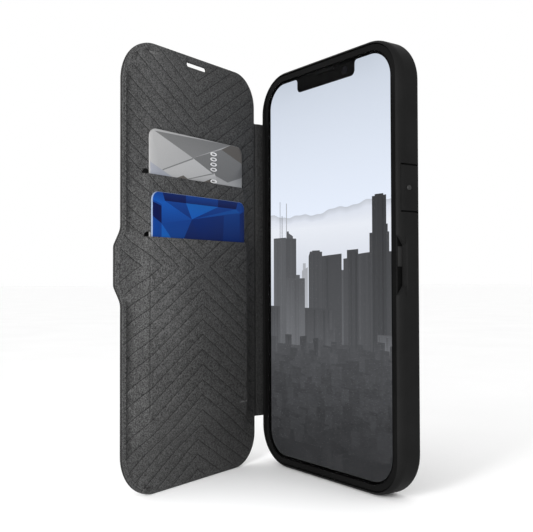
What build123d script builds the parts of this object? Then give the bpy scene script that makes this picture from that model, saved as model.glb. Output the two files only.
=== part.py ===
from build123d import *
import os

# Folio wallet case for a large phone, standing open like a book.
# Millimetres. Origin: centre of the case's flat back face.
# +X to the right seen from the phone's screen, +Y out of the back, +Z up.

# ---------------------------------------------------------------- driving sizes
PHONE_W = 78.1
PHONE_H = 160.8
PHONE_T = 7.4
PHONE_R = 13.0

CASE_W = 82.4
CASE_H = 163.8
CASE_R = 16.0
FIT = 0.25             # gap between the bumper's wall and the phone
WALL = CASE_W / 2 - PHONE_W / 2 - FIT

FABRIC_T = 0.8         # back skin, shell and lining stack up behind the phone
SHELL_T = 1.0
LINING_T = 0.5
SHELL_Y = -FABRIC_T
LINING_Y = SHELL_Y - SHELL_T
FLOOR_Y = LINING_Y - LINING_T
PHONE_BACK_Y = FLOOR_Y - 0.1
GLASS_Y = PHONE_BACK_Y - PHONE_T

EDGE_IN = 2.3          # front edge of the bumper: a quarter ellipse
EDGE_DEEP = 3.0
EDGE_APEX_Y = GLASS_Y - 0.8
BACK_ROUND = 2.0
FLANGE = 4.0           # how far the bumper reaches in over the back
TONGUE = 1.4           # how far the shell is moulded into the flange

SPINE_HALF_H = 62.5
SPINE_X = -CASE_W / 2 - 1.2      # both creases lie on this line
BACK_CREASE_Y = 0.1
SPINE_RUN = 13.55                # crease to crease
FRONT_CREASE_Y = BACK_CREASE_Y - SPINE_RUN
SPINE_LAYERS = {"lining": (0.5, 0.9), "board": (-0.3, 0.5), "fabric": (-0.8, -0.3)}

OPEN_ANGLE = 72.0      # cover's angle from closed, as it stands
COVER_START = 0.5      # all cover sizes run from the front crease
COVER_END = 77.0
COVER_R = 16.0
COVER_CREASE_R = 13.0
TAB_END = 80.3
TAB_Z = 0.1
TAB_ROOT_HALF = 13.0
TAB_TIP_HALF = 7.15
SKIN_IN = 0.95         # depths through the cover, + towards the phone when closed
BOARD_IN = 0.55
BOARD_OUT = -0.05
SKIN_OUT = -0.55
HEM = 2.0              # turned edge of the outer fabric round the board

CARD_W = 53.98         # bank card size
CARD_H = 85.6
CARD_T = 0.76
CARD_R = 3.18
CARD_S = 37.3          # centre line of both cards
CARD_GAP = 0.1
SLOT_Z = {"silver": 33.7, "blue": 10.9}
CARD_TOP = {"silver": 50.6, "blue": 27.5}
POUCH_S = 36.15        # centre line and width of the sewn pouch
POUCH_W = 59.3
POUCH_WALL = 0.7
PANEL_T = 0.25
POUCH_BOTTOM = -60.0

SCREEN_W = 71.2
SCREEN_H = 154.1
SCREEN_R = 9.8
BEZEL = 1.0
NOTCH_W = 34.3
NOTCH_Z = 71.45

POWER_Z = 27.1
VOLUME_UP_Z = 31.0
VOLUME_DOWN_Z = 17.0
MUTE_Z = 46.0
KEY_Y = GLASS_Y + PHONE_T / 2
KEY_PROUD = 0.2
PRESS = 0.4            # travel of every button

COVER_T = 0.7          # skin of a button cover
COVER_Y = (GLASS_Y + 0.5, -1.1)
BOSS_W = 2.6           # narrow enough to follow the key into its slot
BOSS_IN = 2.5
COVER_GAP = 0.6        # between a button cover's ends and its recess
POWER_LEN = 15.8
VOLUME_LEN = 11.7
CLASP_CUT_Y = GLASS_Y + 2.3

CAMERA_X = 18.4
CAMERA_Z = 59.4
CAMERA_W = 30.0
CAMERA_OUT = 1.5
WINDOW_W = 33.4

DOWN = (Align.CENTER, Align.CENTER, Align.MIN)


# ---------------------------------------------------------------- helpers
def slab(face, y_low, y_high):
    """A flat outline drawn in X and Z, made solid between two depths in Y."""
    return Rot(X=90) * Pos(0, 0, -y_high) * extrude(face, y_high - y_low)


def plate(x, z, w, h, r):
    """A rounded rectangle, centred at x, z."""
    return Pos(x, z) * RectangleRounded(w, h, r)


def block(x, y, z):
    """A box from three low-high pairs."""
    box = Box(x[1] - x[0], y[1] - y[0], z[1] - z[0], align=(Align.MIN, Align.MIN, Align.MIN))
    return Pos(x[0], y[0], z[0]) * box


def on_cover(solid):
    """Turn a piece drawn with the cover closed to where the open cover stands."""
    return Pos(SPINE_X, FRONT_CREASE_Y, 0) * Rot(Z=-OPEN_ANGLE) * solid


def save(name, shape):
    shape.label = name
    export_step(shape, f"parts/{name}.step")


# ---------------------------------------------------------------- case
def wall_profile():
    """Section of the bumper's wall. X runs inwards from the outer face, Y is depth."""
    edge_y = EDGE_APEX_Y + EDGE_DEEP
    front = EllipticalCenterArc((EDGE_IN, edge_y), EDGE_IN, EDGE_DEEP, start_angle=180, arc_size=90)
    inside = Polyline(
        front @ 1,
        (EDGE_IN, FLOOR_Y),
        (FLANGE, FLOOR_Y),
        (FLANGE, LINING_Y),
        (FLANGE - TONGUE, LINING_Y),
        (FLANGE - TONGUE, SHELL_Y),
        (FLANGE, SHELL_Y),
        (FLANGE, 0),
        (BACK_ROUND, 0),
    )
    back = RadiusArc((BACK_ROUND, 0), (0, -BACK_ROUND), -BACK_ROUND)
    side = Line((0, -BACK_ROUND), front @ 0)
    return make_face([front, inside, back, side])


def wall_ring():
    """The wall swept round the case's outline, with the phone's place cut out of it."""
    outline = Rot(X=90) * RectangleRounded(CASE_W, CASE_H, CASE_R).wire()
    start = Plane(origin=(CASE_W / 2, 0, 0), x_dir=(-1, 0, 0), z_dir=(0, 0, -1))
    ring = sweep(start * wall_profile(), path=outline)
    return ring - slab(phone_outline(-FIT), EDGE_APEX_Y - 1, FLOOR_Y)


def clasp_pad():
    """Raised pad on the right wall, over the magnet, with a ramp at each end."""
    top, bottom, ramp, raised = 7.6, -7.3, 3.0, 0.45
    face = CASE_W / 2
    outline = Polyline(
        (face - 0.3, bottom - ramp),
        (face, bottom - ramp),
        (face + raised, bottom),
        (face + raised, top),
        (face, top + ramp),
        (face - 0.3, top + ramp),
        close=True,
    )
    pad = slab(make_face(outline), CLASP_CUT_Y, -1.9)
    return chamfer(pad.edges().filter_by(Axis.Z).sort_by(Axis.X)[-2:], 0.3)


def clasp_cut():
    """Cuts the rim's front edge back beside the clasp, with a soft flare at each end."""
    top, bottom, flare = 7.25, -6.8, 3.6
    front = EDGE_APEX_Y - 1
    rim = EDGE_APEX_Y + 0.2
    outline = Polyline(
        (front, bottom - flare),
        (rim, bottom - flare),
        (CLASP_CUT_Y, bottom),
        (CLASP_CUT_Y, top),
        (rim, top + flare),
        (front, top + flare),
        close=True,
    )
    face = make_face(outline)
    face = fillet(face.vertices().sort_by(Axis.X)[-4:], 1.6)
    across = (CASE_W / 2 - WALL - 0.2, CASE_W / 2 + 2)
    cut = extrude(face, across[1] - across[0], dir=(0, 0, 1))
    # drawn with Y along X and Z along Y, then stood up so that it runs along X
    upright = Plane.YZ * cut
    return Pos(across[0], 0, 0) * upright


def button_recess(side, z, cover_len):
    """Shallow recess that a button cover sits in, and the window behind it."""
    outer = CASE_W / 2
    shelf = outer - COVER_T - PRESS - 0.05
    half = cover_len / 2
    recess = block(
        (shelf, outer + 1),
        (COVER_Y[0] - 0.15, COVER_Y[1] + 0.15),
        (z - half - COVER_GAP, z + half + COVER_GAP),
    )
    window = block(
        (outer - WALL - 1, shelf + 0.5),
        (KEY_Y - BOSS_W / 2 - 0.35, KEY_Y + BOSS_W / 2 + 0.35),
        (z - half + BOSS_IN - 0.35, z + half - BOSS_IN + 0.35),
    )
    both = recess + window
    return both if side > 0 else mirror(both, about=Plane.YZ)


def button_cover(side, z, cover_len, blank, dot):
    """Flexible cover over one of the phone's keys: a skin, and a boss that reaches the key."""
    outer = CASE_W / 2
    half = cover_len / 2
    skin_in = outer - COVER_T
    reach = block((skin_in, outer + 1), COVER_Y, (z - half, z + half))
    if side < 0:
        reach = mirror(reach, about=Plane.YZ)
    cover = blank & reach
    boss = block(
        (outer - WALL, skin_in + 0.1),
        (KEY_Y - BOSS_W / 2, KEY_Y + BOSS_W / 2),
        (z - half + BOSS_IN, z + half - BOSS_IN),
    )
    if side < 0:
        boss = mirror(boss, about=Plane.YZ)
    cover = cover + boss
    if dot:
        bump = Pos(outer - 0.1, KEY_Y + 0.2, z + 0.1) * Rot(Y=90) * Cone(0.95, 0.75, 0.5, align=DOWN)
        cover = cover + bump
    return cover


def port_cut():
    """Openings in the bottom wall for the charging plug and the speaker."""
    deep = WALL + 2
    low = -CASE_H / 2 - 0.5
    plug = Pos(0, KEY_Y, low) * extrude(RectangleRounded(14.0, 5.6, 2.7), deep)
    holes = plug
    for side in (-1, 1):
        holes += Pos(side * 18.0, KEY_Y, low) * extrude(SlotOverall(15.0, 2.6), deep)
    return holes


def mute_cut():
    """Opening in the left wall for the phone's mute switch."""
    hole = extrude(RectangleRounded(9.6, 4.8, 2.2), WALL + 2)
    return Pos(-CASE_W / 2 - 0.5, KEY_Y, MUTE_Z) * Rot(Y=90) * hole


def magnet_pocket(clear):
    """Pocket for the clasp's magnet, open towards the phone. It is also the magnet's shape."""
    inner = CASE_W / 2 - WALL
    y = (CLASP_CUT_Y + 0.9 - clear, CLASP_CUT_Y + 4.7 + clear)
    z = (TAB_Z - 6 - clear, TAB_Z + 6 + clear)
    return block((inner + 0.1 - 3 * clear, inner + 1.1), y, z)


def bumper(blank):
    body = blank + clasp_pad()
    body -= clasp_cut()
    body -= button_recess(1, POWER_Z, POWER_LEN)
    body -= button_recess(-1, VOLUME_UP_Z, VOLUME_LEN)
    body -= button_recess(-1, VOLUME_DOWN_Z, VOLUME_LEN)
    body -= port_cut()
    body -= mute_cut()
    body -= magnet_pocket(0.05)
    # step in the back flange that the fabric crosses on its way to the spine
    half = SPINE_HALF_H + 0.3
    body -= block((-CASE_W, -CASE_W / 2 + FLANGE + 0.1), (-0.6, 1), (-half, half))
    return body


def camera_window(grow):
    side = WINDOW_W + 2 * grow
    return plate(CAMERA_X, CAMERA_Z, side, side, 9.0 + grow)


def inside_outline(inset):
    w = CASE_W - 2 * inset
    h = CASE_H - 2 * inset
    return RectangleRounded(w, h, CASE_R - inset)


def back_shell():
    return slab(inside_outline(FLANGE - TONGUE) - camera_window(1.5), LINING_Y, SHELL_Y)


def case_lining():
    return slab(inside_outline(FLANGE + 0.1) - camera_window(1.5), FLOOR_Y, LINING_Y)


def back_fabric():
    """Outer fabric of the back, with the strip that crosses the bumper to the spine."""
    skin = slab(inside_outline(FLANGE + 0.1) - camera_window(1.5), SHELL_Y, 0)
    strip = block((-CASE_W / 2 - 0.6, -CASE_W / 2 + 8), (-0.55, 0), (-SPINE_HALF_H, SPINE_HALF_H))
    return skin + strip


def camera_ring():
    """Raised frame round the camera window."""
    grommet = slab(camera_window(1.45) - camera_window(0), FLOOR_Y, 0)
    lip = slab(camera_window(1.45) - camera_window(0), 0, 1.2)
    lip = fillet(lip.faces().sort_by(Axis.Y)[-1].edges(), 0.5)
    return grommet + lip


# ---------------------------------------------------------------- spine
def spine_layer(layer):
    x_low, x_high = SPINE_LAYERS[layer]
    y = (FRONT_CREASE_Y + 1.3, BACK_CREASE_Y - 0.8)
    return block((SPINE_X + x_low, SPINE_X + x_high), y, (-SPINE_HALF_H, SPINE_HALF_H))


# ---------------------------------------------------------------- cover
def cover_outline(inset):
    """The cover's panel with its closing tab, drawn from the front crease."""
    w = COVER_END - COVER_START - 2 * inset
    h = CASE_H - 2 * inset
    panel = Pos((COVER_START + COVER_END) / 2, 0) * Rectangle(w, h)
    ends = panel.vertices().sort_by(Axis.X)
    panel = fillet(ends[2:], COVER_R - inset)
    panel = fillet(panel.vertices().sort_by(Axis.X)[:2], COVER_CREASE_R - inset)
    root = COVER_END - inset
    tip = TAB_END - inset
    root_half = TAB_ROOT_HALF - 0.4 * inset
    tip_half = TAB_TIP_HALF - 0.7 * inset
    tab = Polyline(
        (root - 4, TAB_Z + root_half),
        (root, TAB_Z + root_half),
        (tip, TAB_Z + tip_half),
        (tip, TAB_Z - tip_half),
        (root, TAB_Z - root_half),
        (root - 4, TAB_Z - root_half),
        close=True,
    )
    outline = panel + make_face(tab)
    corners = outline.vertices().sort_by(Axis.X)
    outline = fillet(corners[-2:], 3.2 - 0.5 * inset)
    flares = [v for v in outline.vertices() if abs(v.X - root) < 0.01 and abs(v.Y - TAB_Z) < 14]
    return fillet(flares, 6.0)


def speaker_slot():
    return Pos(37.3, CASE_H / 2 - 3.3) * SlotOverall(12.3, 2.0)


def cover_fabric(outer, inner):
    """Outer fabric, turned up round the board as a hem."""
    skin = slab(outer - speaker_slot(), SKIN_OUT, BOARD_IN)
    return skin - slab(inner, BOARD_OUT, BOARD_IN + 1)


def cover_board(inner):
    board = slab(inner - speaker_slot(), BOARD_OUT, BOARD_IN)
    return board - tab_magnet(0.1)


def tab_magnet(clear):
    """Thin magnet let into the board behind the tab."""
    s = (TAB_END - HEM - 4.2 - clear, TAB_END - HEM - 0.8 + clear)
    z = (TAB_Z - 5.5 - clear, TAB_Z + 5.5 + clear)
    return block(s, (BOARD_OUT, BOARD_IN), z)


def cover_lining(outer):
    return slab(outer - speaker_slot(), BOARD_IN, SKIN_IN)


def card_depth(card):
    """Depths of a card's two faces. The blue card lies one layer nearer the phone."""
    low = SKIN_IN + CARD_GAP
    if card == "blue":
        low += CARD_T + CARD_GAP + PANEL_T + CARD_GAP
    return (low, low + CARD_T)


def bank_card(card):
    outline = plate(CARD_S, CARD_TOP[card] - CARD_H / 2, CARD_W, CARD_H, CARD_R)
    return slab(outline, *card_depth(card))


def pocket(card, base):
    """Fabric pocket over one card: front panel, side seams and bottom seam."""
    inside, front = card_depth(card)[1] + CARD_GAP, card_depth(card)[1] + CARD_GAP + PANEL_T
    left = POUCH_S - POUCH_W / 2
    right = POUCH_S + POUCH_W / 2
    top = SLOT_Z[card]
    body = block((left, right), (base, front), (POUCH_BOTTOM, top))
    body = chamfer(body.faces().sort_by(Axis.Y)[-1].edges().group_by(Axis.Z)[0], 0.3)
    floor = CARD_TOP[card] - CARD_H - 0.9
    space = block((left + POUCH_WALL, right - POUCH_WALL), (base - 1, inside), (floor, top + 1))
    return body - space


# ---------------------------------------------------------------- phone
def phone_outline(inset):
    return RectangleRounded(PHONE_W - 2 * inset, PHONE_H - 2 * inset, PHONE_R - inset)


def screen_outline(grow):
    return RectangleRounded(SCREEN_W + 2 * grow, SCREEN_H + 2 * grow, SCREEN_R + grow)


def key_hole(side, z, length, clear):
    """Room for a key in the phone's side, down to its seat."""
    outer = PHONE_W / 2
    inner = outer - 1.7
    bar = extrude(SlotOverall(length + 2 * clear, 2.8 + 2 * clear), 2.5)
    bar = Pos(inner, KEY_Y, z) * Rot(Y=90) * bar
    return bar if side > 0 else mirror(bar, about=Plane.YZ)


def key(side, z, length):
    outer = PHONE_W / 2 + KEY_PROUD
    inner = PHONE_W / 2 - 1.7 + PRESS + 0.05
    bar = extrude(SlotOverall(length, 2.8), outer - inner)
    bar = Pos(inner, KEY_Y, z) * Rot(Y=90) * bar
    return bar if side > 0 else mirror(bar, about=Plane.YZ)


def mute_slot():
    bar = Pos(PHONE_W / 2 - 1.7, KEY_Y, MUTE_Z) * Rot(Y=90) * extrude(SlotOverall(5.8, 3.9), 2.5)
    return mirror(bar, about=Plane.YZ)


def mute_lever():
    """Small switch that flips between the screen side and the back side of its slot."""
    outer = PHONE_W / 2 + KEY_PROUD
    y = (KEY_Y - 1.3, KEY_Y + 0.3)
    return block((-outer, -PHONE_W / 2 + 1.6), y, (MUTE_Z - 1.7, MUTE_Z + 1.7))


def antenna_window(clear):
    """Radio window let into the edge of the phone's frame beside the clasp."""
    x = (PHONE_W / 2 - 1.0 - clear, PHONE_W / 2 + 2 * clear)
    return block(x, (GLASS_Y + 0.4 - clear, GLASS_Y + 3.0 + clear), (-0.2 - clear, 6.7 + clear))


def phone_frame():
    ring = slab(phone_outline(0), GLASS_Y, PHONE_BACK_Y)
    rims = ring.faces().sort_by(Axis.Y)
    ring = fillet(rims[0].edges() + rims[-1].edges(), 0.35)
    ring -= slab(screen_outline(BEZEL + 0.05), GLASS_Y - 1, GLASS_Y + 2.6)
    ring -= slab(phone_outline(1.8), GLASS_Y + 2.6, PHONE_BACK_Y + 1)
    ring -= key_hole(1, POWER_Z, 13.0, 0.15)
    ring -= key_hole(-1, VOLUME_UP_Z, 9.0, 0.15)
    ring -= key_hole(-1, VOLUME_DOWN_Z, 9.0, 0.15)
    ring -= mute_slot()
    ring -= antenna_window(0.05)
    bottom = -PHONE_H / 2 - 1
    ring -= Pos(0, KEY_Y, bottom) * extrude(SlotOverall(9.0, 3.2), 5)
    for side in (-1, 1):
        for hole in range(5):
            x = side * (12.6 + 2.7 * hole)
            ring -= Pos(x, KEY_Y, bottom) * Cylinder(0.7, 5, align=DOWN)
    return ring


def charging_port():
    """Metal sleeve of the phone's charging socket."""
    low = -PHONE_H / 2 + 0.3
    sleeve = extrude(SlotOverall(8.9, 3.1), 6.5) - extrude(SlotOverall(8.2, 2.4), 6.0)
    return Pos(0, KEY_Y, low) * sleeve


def notch(grow):
    """Outline of the sensor bar that hangs into the screen from its top edge."""
    top = SCREEN_H / 2
    half = NOTCH_W / 2 + grow
    low = NOTCH_Z - grow
    bar = Pos(0, (top + low) / 2) * Rectangle(2 * half, top - low)
    bar = fillet(bar.vertices().group_by(Axis.Y)[0], 2.0)
    ears = Pos(0, top - 0.7) * Rectangle(2 * half + 2.8, 1.4)
    for side in (-1, 1):
        ears -= Pos(side * (half + 1.4), top - 1.4) * Circle(1.4)
    return bar + ears


def earpiece():
    return Pos(0.1, 76.7) * SlotOverall(11.4, 1.3)


def front_glass():
    return slab(screen_outline(BEZEL) - earpiece(), GLASS_Y, GLASS_Y + 0.7)


def display_panel():
    return slab(screen_outline(0) - notch(0.05), GLASS_Y + 0.7, GLASS_Y + 1.9)


def display_bezel():
    """Black border between the lit panel and the frame, behind the glass."""
    ring = screen_outline(BEZEL) - screen_outline(0.05)
    return slab(ring, GLASS_Y + 0.7, GLASS_Y + 1.9)


def sensor_bar():
    bar = slab(notch(0) & screen_outline(0), GLASS_Y + 0.7, GLASS_Y + 2.5)
    return bar - slab(earpiece(), GLASS_Y, GLASS_Y + 1.2) - front_camera_hole(0.05)


def earpiece_mesh():
    return slab(Pos(0.1, 76.7) * SlotOverall(11.2, 1.1), GLASS_Y + 0.25, GLASS_Y + 0.7)


def front_camera_hole(grow):
    return slab(Pos(11.5, 74.4) * Circle(1.5 + grow), GLASS_Y, GLASS_Y + 1.4)


def front_camera():
    """Small lens in the sensor bar, behind the glass."""
    return slab(Pos(11.5, 74.4) * Circle(1.5), GLASS_Y + 0.8, GLASS_Y + 1.4)


def back_glass():
    return slab(phone_outline(1.85) - lens_holes(), PHONE_BACK_Y - 0.7, PHONE_BACK_Y)


def lens_places():
    return [(CAMERA_X + 6.6, CAMERA_Z + 6.8), (CAMERA_X + 6.6, CAMERA_Z - 6.8), (CAMERA_X - 6.8, CAMERA_Z)]


def lens_holes():
    places = lens_places()
    holes = Pos(*places[0]) * Circle(6.15)
    for place in places[1:]:
        holes += Pos(*place) * Circle(6.15)
    return holes


def camera_plateau():
    """Raised glass block that carries the lenses and the flash."""
    outline = plate(CAMERA_X, CAMERA_Z, CAMERA_W, CAMERA_W, 7.4)
    block_out = slab(outline, PHONE_BACK_Y, PHONE_BACK_Y + CAMERA_OUT)
    block_out = fillet(block_out.faces().sort_by(Axis.Y)[-1].edges(), 0.5)
    flash = slab(Pos(CAMERA_X - 6.8, CAMERA_Z + 10.0) * Circle(2.3), PHONE_BACK_Y + 0.5, 5)
    return block_out - slab(lens_holes(), -5, 5) - flash


def flash_window():
    spot = Pos(CAMERA_X - 6.8, CAMERA_Z + 10.0) * Circle(2.25)
    return slab(spot, PHONE_BACK_Y + 0.5, PHONE_BACK_Y + CAMERA_OUT)


def lens_rings():
    """Metal barrel round each rear lens."""
    rings = []
    for place in lens_places():
        ring = slab(Pos(*place) * (Circle(6.1) - Circle(4.9)), PHONE_BACK_Y - 2.4, PHONE_BACK_Y + 2.6)
        rings.append(fillet(ring.faces().sort_by(Axis.Y)[-1].edges(), 0.25))
    return Compound(rings)


def lens_glasses():
    glasses = []
    for place in lens_places():
        glasses.append(slab(Pos(*place) * Circle(4.85), PHONE_BACK_Y + 1.4, PHONE_BACK_Y + 2.2).solid())
    return Compound(glasses)


def battery():
    return block((-30, 2), (GLASS_Y + 2.8, PHONE_BACK_Y - 1.1), (-66, 40))


def logic_board():
    board = block((5, 34), (GLASS_Y + 3.4, PHONE_BACK_Y - 2.6), (-66, 72))
    return board - block((30, 40), (GLASS_Y, 0), (POWER_Z - 9, POWER_Z + 9))


def mid_plate():
    """Stiff plate behind the screen that the inner parts are fixed to."""
    return slab(RectangleRounded(72.6, 142.0, 4.0), GLASS_Y + 2.0, GLASS_Y + 2.6)


# ---------------------------------------------------------------- all parts
def case_parts():
    blank = wall_ring()
    yield "bumper", bumper(blank)
    yield "back_shell", back_shell()
    yield "case_lining", case_lining()
    yield "back_fabric", back_fabric()
    yield "camera_ring", camera_ring()
    yield "case_magnet", magnet_pocket(0)
    yield "power_button_cover", button_cover(1, POWER_Z, POWER_LEN, blank, True)
    yield "volume_up_cover", button_cover(-1, VOLUME_UP_Z, VOLUME_LEN, blank, False)
    yield "volume_down_cover", button_cover(-1, VOLUME_DOWN_Z, VOLUME_LEN, blank, False)


def folio_parts():
    for layer in SPINE_LAYERS:
        yield f"spine_{layer}", spine_layer(layer)
    outer = cover_outline(0)
    inner = cover_outline(HEM)
    front_of_silver = card_depth("silver")[1] + CARD_GAP + PANEL_T
    yield "cover_fabric", on_cover(cover_fabric(outer, inner))
    yield "cover_board", on_cover(cover_board(inner))
    yield "tab_magnet", on_cover(tab_magnet(0))
    yield "cover_lining", on_cover(cover_lining(outer))
    yield "upper_pocket", on_cover(pocket("silver", SKIN_IN))
    yield "lower_pocket", on_cover(pocket("blue", front_of_silver))
    yield "silver_card", on_cover(bank_card("silver"))
    yield "blue_card", on_cover(bank_card("blue"))


def phone_parts():
    yield "phone_frame", phone_frame()
    yield "front_glass", front_glass()
    yield "display_panel", display_panel()
    yield "display_bezel", display_bezel()
    yield "sensor_bar", sensor_bar()
    yield "earpiece_mesh", earpiece_mesh()
    yield "front_camera", front_camera()
    yield "mid_plate", mid_plate()
    yield "battery", battery()
    yield "logic_board", logic_board()
    yield "charging_port", charging_port()
    yield "antenna_window", antenna_window(0)
    yield "back_glass", back_glass()
    yield "camera_plateau", camera_plateau()
    yield "camera_lens_rings", lens_rings()
    yield "camera_lens_glasses", lens_glasses()
    yield "flash_window", flash_window()
    yield "side_key", key(1, POWER_Z, 13.0)
    yield "volume_up_key", key(-1, VOLUME_UP_Z, 9.0)
    yield "volume_down_key", key(-1, VOLUME_DOWN_Z, 9.0)
    yield "mute_lever", mute_lever()


def main():
    os.makedirs("parts", exist_ok=True)
    for group in (case_parts, folio_parts, phone_parts):
        for name, shape in group():
            save(name, shape)


main()
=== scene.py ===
import itertools
import math
import random

import bmesh
import bpy
import numpy as np
from mathutils import Matrix, Vector


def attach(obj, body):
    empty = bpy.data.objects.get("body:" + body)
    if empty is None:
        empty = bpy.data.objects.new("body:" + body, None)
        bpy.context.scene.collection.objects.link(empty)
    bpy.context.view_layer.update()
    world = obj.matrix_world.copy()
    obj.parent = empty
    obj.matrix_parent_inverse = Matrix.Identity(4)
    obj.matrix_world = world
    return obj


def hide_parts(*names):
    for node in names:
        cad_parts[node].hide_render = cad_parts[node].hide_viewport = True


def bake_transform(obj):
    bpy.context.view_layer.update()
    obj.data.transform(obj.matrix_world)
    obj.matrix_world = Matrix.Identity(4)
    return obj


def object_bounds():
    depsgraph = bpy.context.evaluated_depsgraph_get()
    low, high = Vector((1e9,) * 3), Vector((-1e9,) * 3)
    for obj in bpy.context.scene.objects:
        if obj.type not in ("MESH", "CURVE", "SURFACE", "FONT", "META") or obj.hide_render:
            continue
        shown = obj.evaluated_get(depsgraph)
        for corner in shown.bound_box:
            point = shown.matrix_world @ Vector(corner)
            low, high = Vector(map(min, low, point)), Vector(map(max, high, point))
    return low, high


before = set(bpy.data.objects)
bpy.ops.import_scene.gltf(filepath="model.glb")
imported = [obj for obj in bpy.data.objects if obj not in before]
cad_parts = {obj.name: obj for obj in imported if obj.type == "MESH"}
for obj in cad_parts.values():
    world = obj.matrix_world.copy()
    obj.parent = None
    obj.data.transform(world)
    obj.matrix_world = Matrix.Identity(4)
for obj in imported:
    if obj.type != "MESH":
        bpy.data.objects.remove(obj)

LOADED_BOUNDS = [list(corner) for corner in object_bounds()]
MM = 0.001

# ---------------- sizes, in millimetres, as in the CAD
# The cover is drawn in its own axes: across from its crease to its free edge, depth out of the lining, and up.
SPINE_X, FRONT_CREASE_Y, OPEN_ANGLE = -42.4, -13.45, 72.0
COVER_START, COVER_END, COVER_TOP = 0.5, 77.0, 81.9
CREASE_R, FREE_R = 13.0, 16.0
TAB_END, TAB_Z, TAB_HALF, TAB_R = 80.3, 0.1, 7.15, 3.2
TAB_ROOT_HALF, TAB_ROOT_R = 13.0, 6.0
SKIN_IN, SKIN_OUT = 0.95, -0.55  # depth of the lining's face and of the outer cloth's face
LINING_T, LINING_EDGE, OUTER_T = 0.2, 0.42, 0.4
# On the next line, HEM_SHADOW and the value after it say how far in from the edge a painted shade line and a
# painted highlight line run along the hem.
TURNED_HEM, SEAM_INSET, HEM_SHADOW, HEM_HIGHLIGHT = 3.0, 1.45, 2.3, 3.1
SEWN_FROM, STITCH_FROM, STITCH_Z = 60.0, 64.8, 75  # where hem and stitches start: across, and up or down
STITCH_PITCH, STITCH_R = 1.75, 0.13
POUCH = (6.5, 65.8, -60.0, 62.6)  # left, right, foot and top of the card pouch
POUCH_SEAM_Z, POUCH_R, POUCH_LIFT = -55.0, 3.5, 0.15
SEAM_FADE = (12, -8)  # heights between which the painted shade and the painted highlight along the pouch's seam start to show
CARD_S, CARD_W, CARD_H, CARD_R, CARD_T = 37.3, 53.98, 85.6, 3.18, 0.76
SILVER_TOP, SILVER_DEPTH, BLUE_TOP, BLUE_DEPTH = 50.6, 1.05, 27.5, 2.26
DIGITS_S, DIGITS_TOP, DIGIT_SIZE, DIGIT_SQUEEZE = 26.9, 46.3, 5.3, 0.62
SLOT_SILVER, SLOT_BLUE = 33.7, 10.9  # height of each card slot
SLOT_LOW, SLOT_HIGH = 8.7, 67.6  # ends of both slots
SLOT_HOLES = ((9.9, 1.1), (65.5, 2.0))  # middle and half width of the hole at each end of a slot
SLOT_OPEN, SLOT_REACH = 1.9, 4.0  # height of the holes, and how far above a slot the cloth is pushed up
LAYER_LIFT = 1.21  # step from one pocket layer to the next
POCKET_LEFT, POCKET_RIGHT, POCKET_FOOT = (4.0, 9.9), (73.5, 64.5), (-69.0, -57.9)  # where each layer rises
SLOT_SIDE, SLOT_FADE = 0.9, 3.5  # a layer's step takes this much at a slot's ends, and below the slot past them
DOME_S, DOME_Z, DOME_LIFT = (38, 27), (-20, 31), 0.08  # middle and half size of the bulge over the cards
CHEVRON_PITCH, CHEVRON_SLOPE, CHEVRON_S, CHEVRON_Z = 5.8, 0.645, 37.4, 0.5
CHEVRON_REACH, CHEVRON_TOP, CHEVRON_NEAR = 45, 84, 5.5  # how far the lines run, and which faces are cut
GROOVE_HALF, GROOVE_DEEP = 0.2, 0.12
SPEAKER_Z, SPEAKER_L, SPEAKER_W = 78.6, 12.3, 2.0
SPINE_HALF_H = 62.5
SPINE_JOIN_Y = -5.0  # where the two strips of the spine's outer cloth meet
GLASS_Y = -9.8
CASE_W, CASE_H, CASE_R = 82.4, 163.8, 16.0
FLANGE = 4.1  # width of the bumper's rim round the back cloth and the case lining
WINDOW, WINDOW_R, WINDOW_X, WINDOW_Z = 36.4, 10.5, 18.4, 59.4  # camera window
DOT_Y, DOT_Z = GLASS_Y + 3.9, 27.2
SCREEN_W, SCREEN_H, SCREEN_R = 71.2, 154.1, 9.8
NOTCH_HALF, NOTCH_Z, NOTCH_R, EAR_R = 17.15, 71.45, 2.0, 1.4  # the sensor bar's outline in the screen
NOTCH_OUT = NOTCH_HALF + EAR_R

COVER_PLACE = (
    Matrix.Translation((SPINE_X * MM, FRONT_CREASE_Y * MM, 0))
    @ Matrix.Rotation(math.radians(-OPEN_ANGLE), 4, "Z")
    @ Matrix.Scale(MM, 4)
)
CASE_PLACE = Matrix.Scale(MM, 4)


# ---------------- mesh helpers
def add_object(name, data):
    made = bpy.data.objects.new(name, data)
    bpy.context.scene.collection.objects.link(made)
    return made


def finish_mesh(name, bm, place, body, material, angle=35.0):
    """Makes a piece of one material from a bmesh drawn as (across, depth, up) in millimetres."""
    flat = bm.verts.layers.float_vector.get("flat") or bm.verts.layers.float_vector.new("flat")
    for v in bm.verts:
        v[flat] = v.co
    bmesh.ops.recalc_face_normals(bm, faces=bm.faces)
    bmesh.ops.transform(bm, matrix=place, verts=bm.verts)
    mesh = bpy.data.meshes.new(name)
    bm.to_mesh(mesh)
    bm.free()
    mesh.polygons.foreach_set("use_smooth", [True] * len(mesh.polygons))
    mesh.set_sharp_from_angle(angle=math.radians(angle))
    mesh.materials.append(material)
    piece = add_object(name, mesh)
    if body:
        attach(piece, body)
    return piece


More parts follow.
